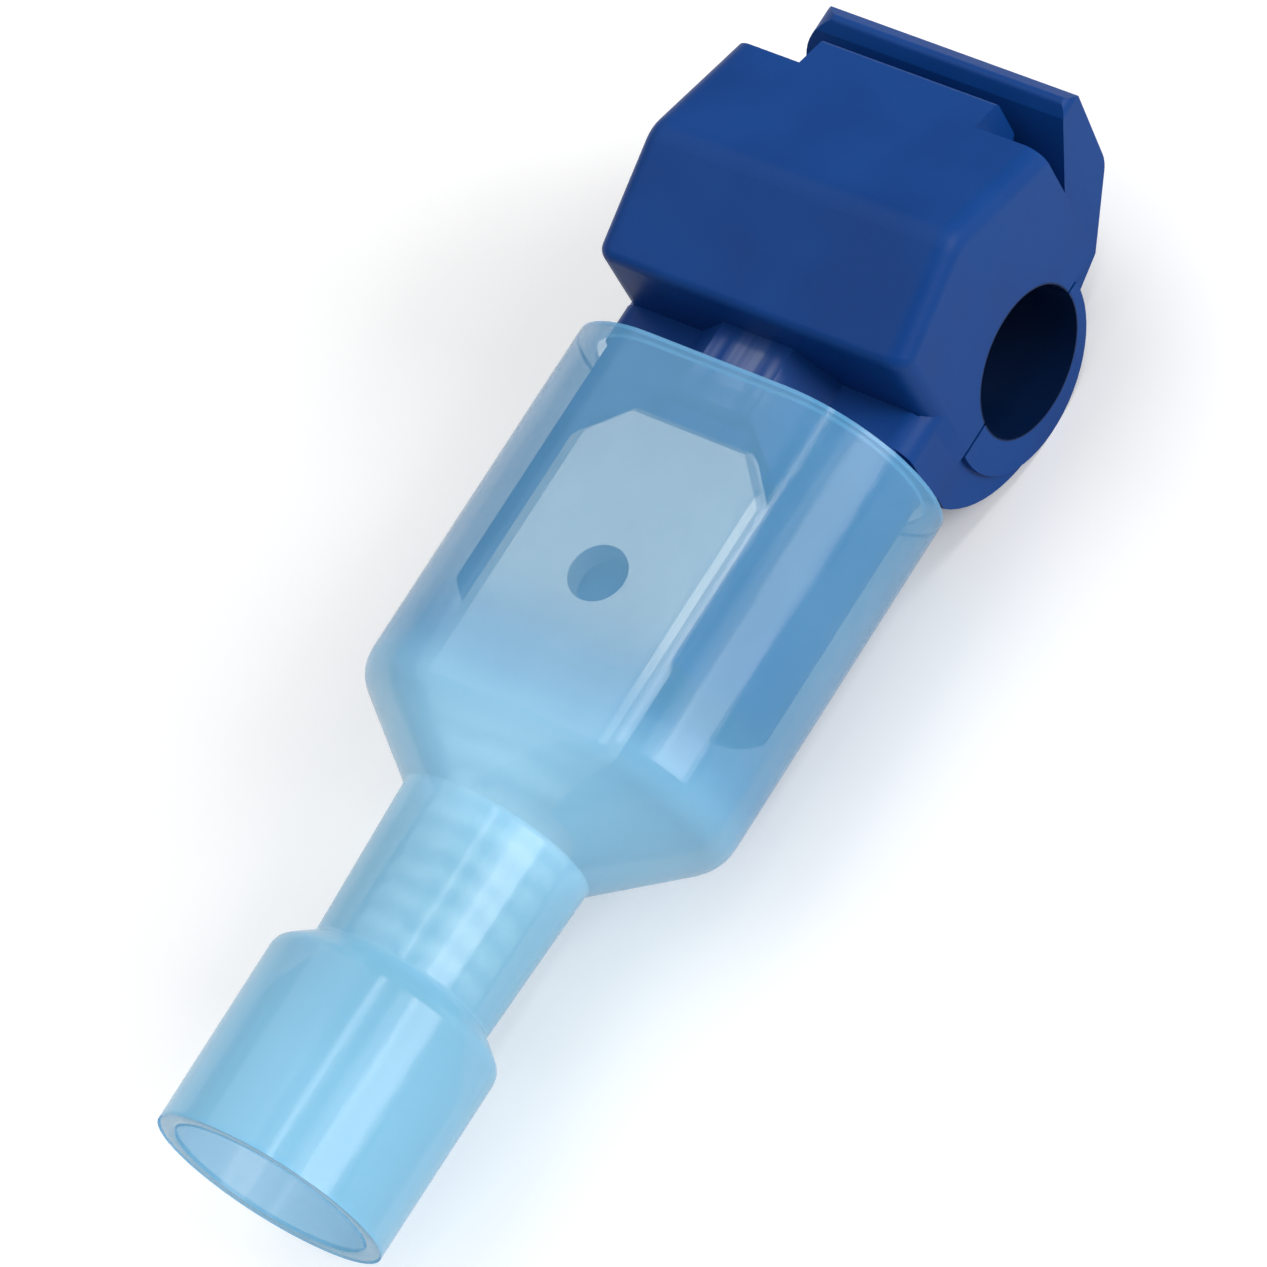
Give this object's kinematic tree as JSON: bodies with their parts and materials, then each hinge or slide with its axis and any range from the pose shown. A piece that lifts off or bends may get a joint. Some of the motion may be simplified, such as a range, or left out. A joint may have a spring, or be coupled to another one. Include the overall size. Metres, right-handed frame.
{
  "type": "t-tap connector",
  "caption": "Hinged wire-tap connector with a through wire hole and slotted contact, and a translucent insulated male tab terminal plugged on its neck.",
  "frame": {"origin": "under the middle of the part, on the surface it lies on", "axes": "+X along the plug's axis towards the T-tap head, +Z out of the head's front face, run wire along Y"},
  "size_m": [0.037, 0.012, 0.0095],
  "materials": {
    "blue_polypropylene": "satin moulded",
    "clear_blue_nylon": "translucent, satin",
    "tinned_brass": "tin plated"
  },
  "bodies": {
    "tap_body": {"socket_half": "blue_polypropylene", "tap_contact": "tinned_brass", "living_hinge": "blue_polypropylene"},
    "cap": {"hinged_cap": "blue_polypropylene"},
    "plug": {"insulating_sleeve": "clear_blue_nylon", "male_tab_terminal": "tinned_brass"}
  },
  "joints": [
    {"name": "cap_hinge", "type": "hinge", "parent": "tap_body", "child": "cap", "pos_m": [0.00822, 0, 0.00155], "axis": [0, 1, 0], "range_deg": [0, 95], "deforming": ["living_hinge"]},
    {"name": "plug_slide", "type": "slide", "parent": "tap_body", "child": "plug", "axis": [-1, 0, 0], "range_m": [0, 0.012]}
  ]
}
